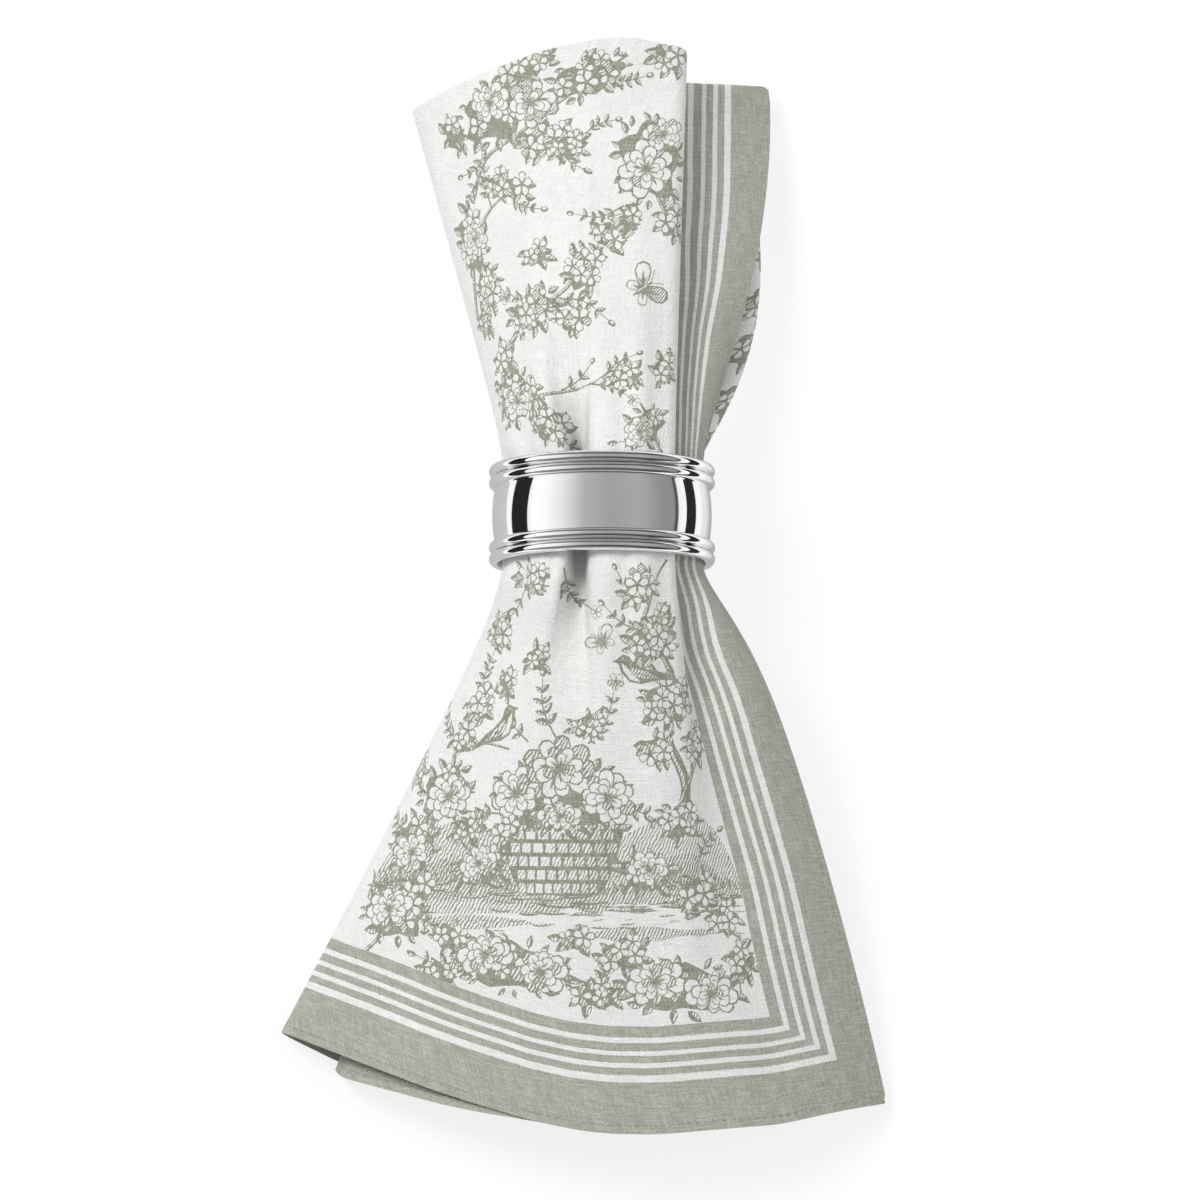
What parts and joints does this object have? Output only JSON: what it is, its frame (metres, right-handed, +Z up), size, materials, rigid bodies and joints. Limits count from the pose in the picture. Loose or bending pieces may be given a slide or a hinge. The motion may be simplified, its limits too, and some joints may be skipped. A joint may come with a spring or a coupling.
{
  "type": "cloth napkin in a napkin ring",
  "caption": "Printed cloth napkin, folded, pleated and drawn through a beaded metal napkin ring, fanned out to both sides and lying on its back.",
  "frame": {"origin": "centre of the bounding box at its base, on the table", "axes": "+Z up from the table, +Y from the napkin's hem to its top fold, +X to the right of the printed face"},
  "size_m": [0.128, 0.2336, 0.0476],
  "materials": {
    "printed_cloth": "matt plain weave, off-white ground with a sage-green floral print and striped border",
    "polished_metal": "mirror polished"
  },
  "bodies": {
    "root": {"napkin": "printed_cloth", "ring": "polished_metal"}
  },
  "joints": []
}
